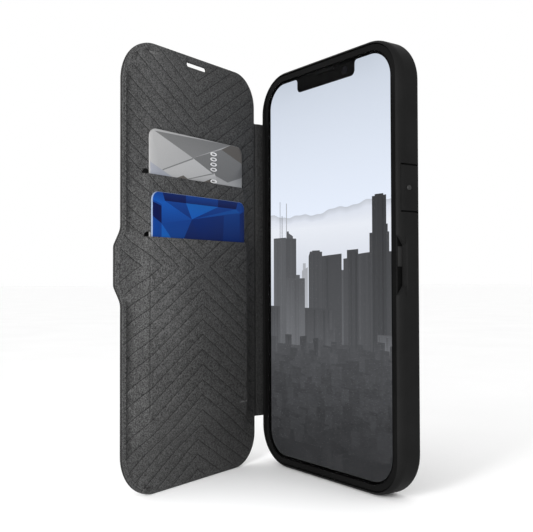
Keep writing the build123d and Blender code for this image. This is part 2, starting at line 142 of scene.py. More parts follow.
def rounded_outline(corners, step=1.0):
    """Counter-clockwise outline from (x, y, radius) corners, as (x, y, normal x, normal y) points."""
    path, arcs = [], []
    count = len(corners)
    for i in range(count):
        x, y, r = corners[i]
        here = Vector((x, y))
        before = (here - Vector(corners[i - 1][:2])).normalized()
        after = (Vector(corners[(i + 1) % count][:2]) - here).normalized()
        turn = math.atan2(before.cross(after), before.dot(after))
        length = r * math.tan(abs(turn) / 2)
        start = here - before * length
        side = 1 if turn > 0 else -1
        centre = start + Vector((-before.y, before.x)) * r * side
        arcs.append((start, here + after * length, centre, r, side, before, turn))
    for i in range(count):
        start, end, centre, r, side, before, turn = arcs[i]
        n = max(3, math.ceil(abs(turn) * r / step))
        for k in range(n + 1):
            a = turn * k / n
            spoke = start - centre
            c, s = math.cos(a), math.sin(a)
            point = centre + Vector((spoke.x * c - spoke.y * s, spoke.x * s + spoke.y * c))
            along = Vector((before.x * c - before.y * s, before.x * s + before.y * c))
            path.append((point.x, point.y, along.y, -along.x))
        nxt = arcs[(i + 1) % count][0]
        run = nxt - end
        m = int(run.length / 3.0)
        for k in range(1, m):
            point = end + run * (k / m)
            path.append((point.x, point.y, run.normalized().y, -run.normalized().x))
    return path


def box_outline(w, h, r, x=0.0, y=0.0, step=1.0):
    sides = ((-1, -1), (1, -1), (1, 1), (-1, 1))
    return rounded_outline([(x + a * w / 2, y + b * h / 2, r) for a, b in sides], step)


def cover_outline():
    top, end = COVER_TOP, COVER_END
    return rounded_outline([
        (COVER_START, -top, CREASE_R), (end, -top, FREE_R),
        (end, TAB_Z - TAB_ROOT_HALF, TAB_ROOT_R), (TAB_END, TAB_Z - TAB_HALF, TAB_R),
        (TAB_END, TAB_Z + TAB_HALF, TAB_R), (end, TAB_Z + TAB_ROOT_HALF, TAB_ROOT_R),
        (end, top, FREE_R), (COVER_START, top, CREASE_R),
    ])


def slot_outline(x, y, w, h, n=10):
    """Counter-clockwise slot with round ends, starting at its right end's middle."""
    points = []
    for k in range(2 * n + 2):
        a = math.pi * k / n if k <= n else math.pi * (k - 1) / n
        side = 1 if (k <= n // 2 or k > 2 * n + 1 - n // 2) else -1
        points.append((x + side * (w / 2 - h / 2) + h / 2 * math.cos(a), y + h / 2 * math.sin(a)))
    clean = []
    for p in points:
        if not clean or (Vector(p) - Vector(clean[-1])).length > 1e-4:
            clean.append(p)
    return clean


def join_loops(bm, loops, capped=True):
    """Faces between closed loops of vertices, with a face over each end if capped."""
    for low, high in zip(loops, loops[1:]):
        n = len(low)
        for i in range(n):
            j = (i + 1) % n
            bm.faces.new((low[i], low[j], high[j], high[i]))
    if capped:
        bm.faces.new(loops[0][::-1])
        bm.faces.new(loops[-1])


def skirted_face(outline, rings, hole=None, hole_depth=None):
    """Nested rings of (inset, depth) from the outside in, closed by a face that may have a hole."""
    bm = bmesh.new()
    loops = []
    for inset, depth in rings:
        loops.append([bm.verts.new((x - nx * inset, depth, y - ny * inset)) for x, y, nx, ny in outline])
    n = len(outline)
    join_loops(bm, loops, capped=False)
    inner = loops[-1]
    depth = rings[-1][1]
    if hole is None:
        bm.faces.new(inner)
        return bm
    level = sum(p[1] for p in hole) / len(hole)
    right_x = max(p[0] for p in hole)
    left_x = min(p[0] for p in hole)
    holes = [bm.verts.new((x, depth, y)) for x, y in hole]
    h_right = min(range(len(hole)), key=lambda i: abs(hole[i][0] - right_x) + abs(hole[i][1] - level))
    h_left = min(range(len(hole)), key=lambda i: abs(hole[i][0] - left_x) + abs(hole[i][1] - level))
    middle = (right_x + left_x) / 2
    o_right = min((i for i in range(n) if inner[i].co.x > middle), key=lambda i: abs(inner[i].co.z - level))
    o_left = min((i for i in range(n) if inner[i].co.x < middle), key=lambda i: abs(inner[i].co.z - level))

    def walk(items, a, b):
        out = [items[a]]
        while a != b:
            a = (a + 1) % len(items)
            out.append(items[a])
        return out

    upper = walk(inner, o_right, o_left) + walk(holes, h_right, h_left)[::-1]
    lower = walk(inner, o_left, o_right) + walk(holes, h_left, h_right)[::-1]
    bm.faces.new(upper)
    bm.faces.new(lower)
    if hole_depth is not None:
        deep = [bm.verts.new((x, hole_depth, y)) for x, y in hole]
        join_loops(bm, [holes, deep], capped=False)
    return bm


def cut(bm, point, normal, faces=None):
    """Cuts the mesh, or some of its faces, with a plane given in (across, up)."""
    faces = bm.faces[:] if faces is None else [f for f in faces if f.is_valid]
    edges = {e for f in faces for e in f.edges}
    verts = {v for f in faces for v in f.verts}
    bmesh.ops.bisect_plane(
        bm, geom=list(verts) + list(edges) + faces, dist=1e-4,
        plane_co=(point[0], 0, point[1]), plane_no=(normal[0], 0, normal[1]),
    )


def grid_cuts(bm, pitch, extra_x=(), extra_z=()):
    """Cuts the mesh into an even grid, and along extra lines across and up."""
    x, z = plan(bm)
    for places, normal, extra in ((x, (1, 0), extra_x), (z, (0, 1), extra_z)):
        low, high = float(places.min()), float(places.max())
        n = int((high - low) / pitch)
        for place in [low + (high - low) * k / n for k in range(1, n)] + list(extra):
            cut(bm, (place, place), normal)


def plan(bm):
    """How far across and up each vertex lies."""
    return np.array([v.co.x for v in bm.verts]), np.array([v.co.z for v in bm.verts])


def unit(t):
    return min(1.0, max(0.0, t))


def ramp(a, b, x):
    """0 at a, 1 at b, smooth in between; a may be above b."""
    t = np.clip((x - a) / (b - a), 0, 1)
    return t * t * (3 - 2 * t)


def outline_distance(points, outline):
    """Distance from each point to the nearest stretch of the outline."""
    loop = np.array([(p[0], p[1]) for p in outline])
    after = np.roll(loop, -1, axis=0)
    best = np.full(len(points), 1e9)
    for a, b in zip(loop, after):
        d = b - a
        t = np.clip(((points - a) @ d) / max(d @ d, 1e-12), 0, 1)
        best = np.minimum(best, np.hypot(*(points - a - t[:, None] * d).T))
    return best


def tube(bm, points, radius, sides=6, squash=1.0):
    """Closed tube along points that are given as (across, depth, up)."""
    rings = []
    for i, p in enumerate(points):
        ahead = Vector(points[min(i + 1, len(points) - 1)]) - Vector(points[max(i - 1, 0)])
        ahead.normalize()
        out = Vector((0, 1, 0))
        side = ahead.cross(out).normalized() * radius
        up = side.cross(ahead).normalized() * radius * squash
        turns = [2 * math.pi * k / sides for k in range(sides)]
        rings.append([bm.verts.new(Vector(p) + side * math.cos(a) + up * math.sin(a)) for a in turns])
    join_loops(bm, rings)


# ---------------- materials
def even(tone):
    """The same linear tone in red, green and blue."""
    return (tone, tone, tone, 1.0)


class Shader:
    """Adds and links the nodes of one material. A colour may be given as one tone."""

    def __init__(self, name):
        self.material = bpy.data.materials.new(name)
        self.material.use_nodes = True
        self.tree = self.material.node_tree
        self.main = self.tree.nodes["Principled BSDF"]

    def node(self, kind, **sockets):
        made = self.tree.nodes.new(kind)
        for key, value in sockets.items():
            self.set(made.inputs[key.replace("_", " ")], value)
        return made

    def set(self, socket, value):
        if isinstance(value, bpy.types.NodeSocket):
            self.tree.links.new(value, socket)
        else:
            socket.default_value = value

    def coords(self, flat):
        """Place in millimetres: where a made piece was drawn if flat, or else within a CAD node."""
        if flat:
            return self.attribute("flat").outputs["Vector"]
        made = self.tree.nodes.new("ShaderNodeTexCoord")
        scaled = self.node("ShaderNodeVectorMath")
        scaled.operation = "SCALE"
        self.set(scaled.inputs[0], made.outputs["Object"])
        scaled.inputs["Scale"].default_value = 1000.0
        return scaled.outputs[0]

    def attribute(self, name):
        made = self.tree.nodes.new("ShaderNodeAttribute")
        made.attribute_name = name
        return made

    def noise(self, where, scale, detail=3.0, rough=0.6, stretch=None):
        if stretch:
            mapping = self.node("ShaderNodeMapping")
            self.set(mapping.inputs["Vector"], where)
            mapping.inputs["Scale"].default_value = stretch
            where = mapping.outputs[0]
        made = self.node("ShaderNodeTexNoise", Vector=where, Scale=scale, Detail=detail, Roughness=rough)
        return made.outputs["Fac"]

    def ramp(self, value, stops):
        made = self.tree.nodes.new("ShaderNodeValToRGB")
        self.set(made.inputs[0], value)
        elements = made.color_ramp.elements
        while len(elements) < len(stops):
            elements.new(0.5)
        for element, (place, colour) in zip(elements, stops):
            element.position = place
            element.color = even(colour) if isinstance(colour, (int, float)) else (*colour[:3], 1.0)
        return made.outputs["Color"]

    def mix(self, factor, a, b, mode="MIX"):
        made = self.tree.nodes.new("ShaderNodeMix")
        made.data_type = "RGBA"
        made.blend_type = mode
        self.set(made.inputs[0], factor)
        self.set(made.inputs[6], a)
        self.set(made.inputs[7], b)
        return made.outputs[2]

    def times(self, a, b):
        return self.mix(1.0, a, b, "MULTIPLY")

    def math(self, kind, a, b=0.0):
        made = self.tree.nodes.new("ShaderNodeMath")
        made.operation = kind
        self.set(made.inputs[0], a)
        self.set(made.inputs[1], b)
        return made.outputs[0]

    def wave(self, where, scale, axis):
        made = self.node("ShaderNodeTexWave", Vector=where, Scale=scale, Distortion=0.6, Detail=1.0)
        made.bands_direction = axis
        return made.outputs["Fac"]

    def bump(self, height, distance, strength=1.0):
        made = self.node("ShaderNodeBump", Height=height, Distance=distance * MM, Strength=strength)
        self.set(self.main.inputs["Normal"], made.outputs[0])

    def surface(self, **sockets):
        for key, value in sockets.items():
            self.set(self.main.inputs[key.replace("_", " ")], value)


def linear(c):
    c = max(0.0, c) / 255
    return c / 12.92 if c <= 0.04045 else ((c + 0.055) / 1.055) ** 2.4


def rgb(r, g, b):
    """Linear colour of a display colour 0-255."""
    return (linear(r), linear(g), linear(b), 1.0)


def grey(v, warm=0.0):
    """Linear colour of a display grey 0-255, a little warmer or cooler."""
    return rgb(v + warm, v, v - warm)


def display(c):
    """Linear colour of a display grey or colour 0-255."""
    return grey(c) if isinstance(c, int) else rgb(*c)


# Tone that darkens the pressed grooves and the painted shade, and factor that lightens the painted highlight
# lines.
GROOVE_AND_SHADE_TONE, PAINTED_HIGHLIGHT_TONE = grey(70), 3.2
HIGHLIGHT_PATCH_S, HIGHLIGHT_PATCH_Z, HIGHLIGHT_PATCH_TONE = (58.0, 15.0), (-10.0, 30.0), 1.34  # middle and half size of the painted highlight patch
# Painted light on the lining: painted shade near the crease, lighter towards the free edge.
PAINTED_LIGHT_SPAN = 80.0
LINING_PAINTED_LIGHT = ((0.0, 0.66), (0.3, 0.74), (0.62, 0.95), (0.8, 1.06), (0.86, 0.98), (1.0, 1.04))


def fabric(name, dark, light, weave=2.2, fuzz=0.06, painted_light=None):
    """Heathered woven cloth, darker in the pressed grooves and in painted shade, lighter in painted highlights.
    Its last argument, if given, is a ramp of painted light and shade from the crease outwards, with a patch of
    painted highlight.
    """
    s = Shader(name)
    where = s.coords(True)
    fibres = s.noise(where, 2.4, 2.0, 0.6)
    slubs = s.noise(where, 1.9, 2.0, 0.6, stretch=(0.5, 1.0, 2.2))
    cross = s.noise(where, 1.9, 2.0, 0.6, stretch=(2.2, 1.0, 0.5))
    broad = s.noise(where, 0.035, 2.0, 0.5)
    base = s.ramp(fibres, [(0.4, dark), (0.6, light)])
    base = s.mix(0.25, base, s.ramp(slubs, [(0.42, dark), (0.6, light)]))
    base = s.mix(0.25, base, s.ramp(cross, [(0.42, dark), (0.6, light)]))
    base = s.times(base, s.ramp(broad, [(0.3, 0.9), (0.7, 1.08)]))
    if painted_light:
        # Painted light and shade: darker near the crease, lighter towards the free edge.
        across = s.node("ShaderNodeSeparateXYZ", Vector=where).outputs["X"]
        base = s.times(base, s.ramp(s.math("DIVIDE", across, PAINTED_LIGHT_SPAN), painted_light))
        # Painted highlight: a soft lighter patch on the pocket.
        (middle_s, half_s), (middle_z, half_z) = HIGHLIGHT_PATCH_S, HIGHLIGHT_PATCH_Z
        patch = s.node("ShaderNodeMapping", Vector=where)
        patch.inputs["Location"].default_value = (-middle_s / half_s, 0.0, -middle_z / half_z)
        patch.inputs["Scale"].default_value = (1 / half_s, 0.0, 1 / half_z)
        away = s.node("ShaderNodeVectorMath", Vector=patch.outputs[0])
        away.operation = "LENGTH"
        base = s.times(base, s.ramp(away.outputs["Value"], [(0.0, HIGHLIGHT_PATCH_TONE), (1.0, 1.0)]))
    # The groove attribute darkens the pressed grooves and also carries painted shade along the hem and the
    # pouch's seam.
    groove = s.attribute("groove").outputs["Fac"]
    base = s.mix(groove, base, s.times(base, GROOVE_AND_SHADE_TONE))
    # Painted highlight: lines made lighter along the hem and the pouch's seam.
    rub = s.attribute("rub").outputs["Fac"]
    base = s.mix(rub, base, s.times(base, even(PAINTED_HIGHLIGHT_TONE)))
    threads = s.math("MULTIPLY", s.wave(where, weave, "X"), s.wave(where, weave, "Z"))
    height = s.math("ADD", s.math("MULTIPLY", threads, 0.6), s.math("MULTIPLY", fibres, 0.8))
    s.bump(height, fuzz)
    rough = s.math("ADD", s.math("MULTIPLY", fibres, 0.15), 0.7)
    s.surface(Base_Color=base, Roughness=rough, Sheen_Weight=0.03, Sheen_Roughness=0.5, Specular_IOR_Level=0.06)
    return s.material


def moulded(name, colour, rough, grain=3.0, depth=0.01, spec=0.4, metallic=0.0, wear=1.25):
    """Moulded or machined surface: fine grain, faint tone changes and slightly polished patches."""
    s = Shader(name)
    where = s.coords(False)
    fine = s.noise(where, grain, 3.0, 0.6)
    broad = s.noise(where, 0.06, 3.0, 0.55)
    low = tuple(c * 0.82 for c in colour[:3])
    high = tuple(min(1.0, c * wear) for c in colour[:3])
    base = s.mix(0.25, s.ramp(broad, [(0.3, low), (0.75, high)]), s.ramp(fine, [(0.3, low), (0.7, high)]))
    roughness = s.math("ADD", s.math("MULTIPLY", broad, 0.14), rough - 0.07)
    s.bump(fine, depth)
    s.surface(Base_Color=base, Roughness=roughness, Metallic=metallic, Specular_IOR_Level=spec)
    return s.material


def clear_glass(name, tint, alpha, rough=0.03):
    """Nearly clear glass with faint smears."""
    s = Shader(name)
    where = s.coords(False)
    smear = s.noise(where, 0.05, 2.0, 0.5)
    roughness = s.math("ADD", s.math("MULTIPLY", smear, 0.05), rough)
    base = s.ramp(smear, [(0.3, tint), (0.7, [min(1.0, c * 1.2) for c in tint[:3]])])
    s.surface(Base_Color=base, Roughness=roughness, Alpha=alpha)
    s.material.blend_method = "BLEND"
    return s.material


def painted(name, rough, coat, fleck):
    """Print whose colours are stored on the mesh, under a thin clear layer."""
    s = Shader(name)
    where = s.coords(True)
    print_colour = s.attribute("ink").outputs["Color"]
    fine = s.noise(where, 4.0, 2.0, 0.6)
    colour = s.times(print_colour, s.ramp(fine, [(0.3, 1 - fleck), (0.7, 1 + fleck)]))
    s.surface(Base_Color=colour, Roughness=rough, Coat_Weight=coat, Coat_Roughness=0.15)
    s.surface(Specular_IOR_Level=0.06)
    return s.material


def paint(name, material):
    """Gives a CAD node its material."""
    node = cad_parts[name]
    if not node.material_slots:
        node.data.materials.append(material)
    for material_slot in node.material_slots:
        material_slot.link = "OBJECT"
        material_slot.material = material


# ---------------- cover: lining with pockets
def chevron_offset(x, z):
    """Signed distance to the nearest pressed line, square to the line."""
    value = (np.abs(z - CHEVRON_Z) - CHEVRON_SLOPE * np.abs(x - CHEVRON_S)) / CHEVRON_PITCH - 0.5
    away = (value - np.round(value)) * CHEVRON_PITCH
    return away / math.hypot(1, CHEVRON_SLOPE)


def pouch_mask(x, z):
    """1 on the card pouch and 0 off it, and the distance outwards from its seam."""
    low_x, high_x, _, high_z = POUCH
    low_z = POUCH_SEAM_Z
    qx = np.abs(x - (low_x + high_x) / 2) - (high_x - low_x) / 2 + POUCH_R
    qz = np.abs(z - (low_z + high_z) / 2) - (high_z - low_z) / 2 + POUCH_R
    distance = np.hypot(np.maximum(qx, 0), np.maximum(qz, 0)) + np.minimum(np.maximum(qx, qz), 0) - POUCH_R
    return ramp(0.1, -0.7, distance), distance


def lining_lift(x, z, above):
    """How far the lining stands over its flat level. above is 1 on the upper lip of a slot, -1 on the lower."""
    lift = POUCH_LIFT * pouch_mask(x, z)[0]
    z = z + above * 1e-3
    sides = np.minimum(ramp(*POCKET_LEFT, x), ramp(*POCKET_RIGHT, x))
    foot = ramp(*POCKET_FOOT, z)
    inside = ramp(SLOT_LOW, SLOT_LOW + SLOT_SIDE, x) * ramp(SLOT_HIGH, SLOT_HIGH - SLOT_SIDE, x)
    for slot in (SLOT_SILVER, SLOT_BLUE):
        soft = ramp(slot, slot - SLOT_FADE, z) * (z < slot)
        full = (z < slot) * 1.0
        lift = lift + LAYER_LIFT * sides * foot * (inside * full + (1 - inside) * soft)
    dome = 1.0
    for place, (middle, half) in ((x, DOME_S), (z, DOME_Z)):
        dome = dome * np.clip(1 - ((place - middle) / half) ** 2, 0, 1)
    return lift + DOME_LIFT * dome


def chevron_cuts(bm):
    """Cuts the mesh along the sides and middle of every pressed line, a quarter of the cover at a time."""
    slant = math.hypot(1, CHEVRON_SLOPE)
    first = math.floor(-CHEVRON_SLOPE * CHEVRON_REACH / CHEVRON_PITCH)
    last = math.ceil(CHEVRON_TOP / CHEVRON_PITCH - 0.5)
    for sx, sz, n in itertools.product((-1, 1), (-1, 1), range(first, last)):
        for shift in (-GROOVE_HALF, 0, GROOVE_HALF):
            c = (n + 0.5) * CHEVRON_PITCH + shift * slant
            faces = []
            for f in bm.faces:
                m = f.calc_center_median()
                if (m.x - CHEVRON_S) * sx > 0 and (m.z - CHEVRON_Z) * sz > 0:
                    v = abs(m.z - CHEVRON_Z) - CHEVRON_SLOPE * abs(m.x - CHEVRON_S)
                    if abs(v - c) < CHEVRON_NEAR:
                        faces.append(f)
            if faces:
                cut(bm, (CHEVRON_S, CHEVRON_Z + sz * c), (-CHEVRON_SLOPE * sx, sz), faces)


def bell(x, middle, width):
    return np.exp(-((x - middle) / width) ** 2)


def cover_lining(material, thread_piece):
    """Lining with its pouch, slots, seams and pressed lines, under which the two cards lie."""
    outline = cover_outline()
    hole = slot_outline(CARD_S, SPEAKER_Z, SPEAKER_L, SPEAKER_W)
    bm = skirted_face(outline, [(inset, SKIN_IN) for inset in (0.03, 0.12, LINING_EDGE)], hole)
    slots = (SLOT_SILVER, SLOT_BLUE)
    ends = (SLOT_LOW, SLOT_HIGH)
    # Extra cuts where the cloth bends most: the pouch's edges, the foot's seam, the slots and their holes.
    fine_x = [4.6, 5.4, 5.8, 6.1, 6.4, 6.7, 7.0, 7.4, 8.0, 64.9, 65.3, 65.6, 66.0, 66.3, 68.4, 70.0, 71.6]
    fine_x += [*ends, CHEVRON_S]
    for middle, half in SLOT_HOLES:
        fine_x += [middle + half * part for part in (-0.94, -0.77, -0.5, 0.0, 0.5, 0.77, 0.94)]
    fine_z = [-66.0, -63.0, -60.0, -57.9, -55.4, -55.0, -54.6, -54.0, 62.0, 62.6, 63.0, CHEVRON_Z]
    for slot in slots:
        fine_z += [slot + off for off in (0, -0.7, -1.7, -2.7, 0.6, 1.3, 2.2, 3.2)]
    grid_cuts(bm, 2.7, fine_x, fine_z)
    chevron_cuts(bm)
    lips = []
    for e in bm.edges:
        a, b = (v.co for v in e.verts)
        if SLOT_LOW < (a.x + b.x) / 2 < SLOT_HIGH:
            if any(abs(a.z - slot) < 1e-3 and abs(b.z - slot) < 1e-3 for slot in slots):
                lips.append(e)
    bmesh.ops.split_edges(bm, edges=lips)
    above = []
    for v in bm.verts:
        side = 0.0
        if v.link_faces and min(abs(v.co.z - slot) for slot in slots) < 1e-3:
            middle = sum(f.calc_center_median().z for f in v.link_faces) / len(v.link_faces)
            side = 1.0 if middle > v.co.z else -1.0
            if min(abs(v.co.x - end) for end in ends) < 1e-2:
                side = 1.0
        above.append(side)
    x, z = plan(bm)
    d = outline_distance(np.column_stack([x, z]), outline)
    hole_d = outline_distance(np.column_stack([x, z]), hole)
    lift = lining_lift(x, z, np.array(above))
    edge = np.clip(1 - d / LINING_EDGE, 0, 1)
    rim = LINING_T * (1 - np.sqrt(np.clip(1 - edge ** 2, 0, 1)))
    groove = np.clip(1 - np.abs(chevron_offset(x, z)) / GROOVE_HALF, 0, 1)
    groove = groove * ramp(0.4, 1.0, np.minimum(d, hole_d))
    sewn = x > SEWN_FROM
    stitched = 0.07 * bell(d, SEAM_INSET, 0.35) * sewn
    tuck = 0.1 * bell(hole_d, 0, 0.3)
    depth = SKIN_IN + lift - rim - GROOVE_DEEP * groove - stitched - tuck
    _, border = pouch_mask(x, z)
    below = ramp(*SEAM_FADE, z)
    # Painted shade along the pouch's seam on its free side and along the hem, stored with the pressed grooves.
    line = 0.75 * bell(border, 0, 0.25) * ramp(62.0, 64.5, x) * below + 0.6 * bell(d, HEM_SHADOW, 0.3) * sewn
    # Painted highlight along the pouch's seam on its crease side and along the hem.
    painted_highlight_amount = bell(border, -0.3, 0.35) * (x < 12) * below + 0.25 * bell(d, HEM_HIGHLIGHT, 0.22) * sewn
    groove_and_shade = bm.verts.layers.float.new("groove")
    rub = bm.verts.layers.float.new("rub")
    for v, y, g, b, light, side in zip(bm.verts, depth, groove, line, painted_highlight_amount, above):
        opened = max(1 - ((v.co.x - middle) / half) ** 2 for middle, half in SLOT_HOLES)
        for slot in slots:
            over = v.co.z - slot
            if opened > 0 and -1e-3 < over < SLOT_REACH and (side > 0 or over > 1e-3):
                v.co.z += SLOT_OPEN * math.sqrt(opened) * (1 - over / SLOT_REACH)
        v.co.y = y
        v[groove_and_shade] = max(g, b)
        v[rub] = light
    piece = finish_mesh("cover_lining_cloth", bm, COVER_PLACE, None, material, 60)
    thicken = piece.modifiers.new("cloth thickness", "SOLIDIFY")
    thicken.thickness = LINING_T * MM
    thicken.offset = -1.0
    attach(piece, "cover")
    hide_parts("cover_lining", "upper_pocket", "lower_pocket")


def pocket_backing(material):
    """Cloth inside the card pockets, seen only through the slots, coloured near black as painted shade inside
    the pockets.
    """
    low_x, high_x = POUCH[0] + 1, SLOT_HIGH + 0.8
    low_z, high_z = POUCH[2] + 3, SLOT_SILVER + 5
    width, height = high_x - low_x, high_z - low_z
    outline = box_outline(width, height, 2.0, (low_x + high_x) / 2, (low_z + high_z) / 2)
    bm = skirted_face(outline, [(0.0, 0.70), (0.0, 0.78), (0.1, 0.84)])
    grid_cuts(bm, 6.0)
    piece = finish_mesh("pocket_backing", bm, COVER_PLACE, "cover", material)


def cover_outer(material):
    """Outer cloth: flat on the outside, turned round the edge and in under the lining."""
    outline = cover_outline()
    hole = slot_outline(CARD_S, SPEAKER_Z, SPEAKER_L, SPEAKER_W)
    rings = [(2.0, 0.50), (0.4, 0.54), (0.1, 0.5), (0.0, 0.36), (0.0, 0.05)]
    rings += [(0.05, -0.2), (0.2, -0.4), (0.5, -0.51), (1.1, SKIN_OUT)]
    bm = skirted_face(outline, rings, hole, 0.72)
    grid_cuts(bm, 5.0)
    x, z = plan(bm)
    d = outline_distance(np.column_stack([x, z]), outline)
    sink = 0.06 * bell(d, 1.6, 0.5)
    for v, s in zip(bm.verts, sink):
        if v.co.y < -0.5:
            v.co.y += s
    piece = finish_mesh("cover_outer_cloth", bm, COVER_PLACE, "cover", material, 50)
    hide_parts("cover_fabric")


def stitching(material):
    """Thread that follows the free edge and the tab, one raised loop for each stitch."""
    path = [Vector((x - nx * SEAM_INSET, y - ny * SEAM_INSET)) for x, y, nx, ny in cover_outline()]
    start = next(i for i, p in enumerate(path) if p.x > STITCH_FROM and p.y < -STITCH_Z)
    end = max(i for i, p in enumerate(path) if p.x > STITCH_FROM and p.y > STITCH_Z)
    path = path[start:end + 1]
    lengths = [0.0]
    for a, b in zip(path, path[1:]):
        lengths.append(lengths[-1] + (b - a).length)
    count = int(lengths[-1] / STITCH_PITCH)
    pitch = lengths[-1] / count

    def at(distance):
        i = 1
        while i < len(lengths) - 1 and lengths[i] < distance:
            i += 1
        t = (distance - lengths[i - 1]) / max(lengths[i] - lengths[i - 1], 1e-9)
        return path[i - 1].lerp(path[i], t)

    bm = bmesh.new()
    for k in range(count):
        points = []
        for j in range(6):
            u = j / 5
            p = at((k + 0.12 + 0.76 * u) * pitch)
            points.append((p.x, SKIN_IN - 0.17 + 0.19 * math.sin(math.pi * u) ** 0.6, p.y))
        tube(bm, points, STITCH_R, squash=0.8)
    piece = finish_mesh("cover_stitching", bm, COVER_PLACE, "cover", material, 60)
    return piece


# ---------------- cards
def inside_polygon(x, z, corners):
    """Even-odd test for a point and a list of corners."""
    inside = False
    for (ax, az), (bx, bz) in zip(corners, corners[1:] + corners[:1]):
        if (az > z) != (bz > z) and x < ax + (bx - ax) * (z - az) / (bz - az):
            inside = not inside
    return inside


def bank_card(name, node, body, top, low_y, base, facets, edge_colour, material):
    """Plastic card with softened edges. Its face is cut along the printed facets, given from its top middle."""
    outline = box_outline(CARD_W, CARD_H, CARD_R, CARD_S, top - CARD_H / 2, 0.5)
    high_y = low_y + CARD_T
    rings = [(0.6, low_y), (0.08, low_y), (0.0, low_y + 0.08)]
    rings += [(0.0, high_y - 0.08), (0.03, high_y - 0.03), (0.1, high_y)]
    bm = skirted_face(outline, rings)
    bm.verts.ensure_lookup_table()
    bm.faces.new(bm.verts[:len(outline)])
    ink = bm.loops.layers.float_color.new("ink")
    tag = bm.faces.layers.int.new("face")
    front = max((f for f in bm.faces if len(f.verts) > 10), key=lambda f: f.calc_center_median().y)
    front[tag] = 1
    for corners, _, _ in facets:
        for a, b in zip(corners, corners[1:] + corners[:1]):
            (left, right), (foot, head) = sorted((a[0], b[0])), sorted((a[1], b[1]))
            chosen = []
            for f in bm.faces:
                if f[tag]:
                    xs = [v.co.x - CARD_S for v in f.verts]
                    zs = [v.co.z - top for v in f.verts]
                    if min(xs) < right and max(xs) > left and min(zs) < head + 0.01 and max(zs) > foot - 0.01:
                        chosen.append(f)
            if chosen:
                cut(bm, (CARD_S + a[0], top + a[1]), (a[1] - b[1], b[0] - a[0]), chosen)
    for f in bm.faces:
        low, high, foot, head = edge_colour, edge_colour, top - 1, top
        if f[tag]:
            low, high, foot = display(base[0]), display(base[1]), top - CARD_H
            m = f.calc_center_median()
            for corners, facet_low, facet_high in facets:
                if inside_polygon(m.x - CARD_S, m.z - top, corners):
                    low, high = display(facet_low), display(facet_high)
                    foot = top + min(c[1] for c in corners)
                    head = top + max(c[1] for c in corners)
        for loop in f.loops:
            t = unit((loop.vert.co.z - foot) / (head - foot))
            loop[ink] = tuple(low[i] * (1 - t) + high[i] * t for i in range(4))
    piece = finish_mesh(name, bm, COVER_PLACE, body, material, 40)
    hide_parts(node)


def card_digits(text, depth, body, material, name):
    """Raised digits that run down the card, standing on its face."""
    curve = bpy.data.curves.new(name + "_curve", "FONT")
    curve.body = text
    curve.size = DIGIT_SIZE
    curve.space_character = 1.25
    curve.extrude = 0.14
    curve.bevel_depth = 0.05
    curve.bevel_resolution = 1
    curve.resolution_u = 3
    holder = add_object(name + "_holder", curve)
    bpy.context.view_layer.update()
    mesh = bpy.data.meshes.new_from_object(holder)
    bpy.data.objects.remove(holder)
    bpy.data.curves.remove(curve)
    bm = bmesh.new()
    bm.from_mesh(mesh)
    bpy.data.meshes.remove(mesh)
    for v in bm.verts:
        x, y, z = v.co
        v.co = (DIGITS_S + y, depth + z, DIGITS_TOP - x * DIGIT_SQUEEZE)
    piece = finish_mesh(name, bm, COVER_PLACE, body, material, 40)


# Printed facets: corners from the middle of the card's top edge, and the display greys or colours at their
# foot and head.
SILVER_BASE = (136, 146)
SILVER_FACETS = [
    ([(24.6, -0.9), (-19.4, 0), (3.8, -8.2)], 107, 100),
    ([(3.8, -8.2), (-13.5, -2.6), (-27, -6.8), (-27, -12.6), (-17.5, -15.5), (-9.9, -13.6)], 93, 101),
    ([(-19.4, 0), (-27, 0), (-27, -6.8), (-13.5, -2.6)], (78, 74, 70), (80, 77, 74)),
    ([(3.8, -8.2), (-9.9, -13.6), (-1.4, -17.2), (13.8, -17.2), (20.6, -14.5)], 148, 157),
    ([(-9, -12.5), (8.6, -17.2), (-1.4, -17.2), (-9.9, -13.6)], 138, 158),
    ([(3.8, -8.2), (20.6, -14.5), (20.4, -14.9), (3.4, -8.6)], 104, 104),
    ([(-8.7, -12.6), (9.4, -17.2), (8.2, -17.2), (-9.1, -13)], 104, 104),
    ([(-27, -12.6), (-17.5, -15.5), (-9.9, -13.6), (-10.9, -17.2), (-27, -17.2)], 143, 129),
    ([(13.8, -17.2), (9.2, -15.5), (5.2, -17.2)], (83, 79, 75), (83, 79, 75)),
    ([(-1.4, -17.2), (-7.1, -15.1), (-10.9, -17.2)], (76, 72, 68), (76, 72, 68)),
    ([(27, -12.4), (14.3, -17.2), (27, -17.2)], (129, 132, 140), (131, 133, 141)),
    ([(27, -17.2), (-6, -40), (27, -58)], 103, 120),
    ([(-27, -17.2), (4, -33), (-27, -62)], 96, 84),
    ([(-6, -40), (-27, -62), (-27, -85), (8, -85)], 129, 144),
]
NAVY, DEEP, MID, BRIGHT = (3, 12, 58), (5, 30, 84), (8, 50, 116), (12, 70, 146)
BLUE_BASE = ((7, 42, 102), MID)
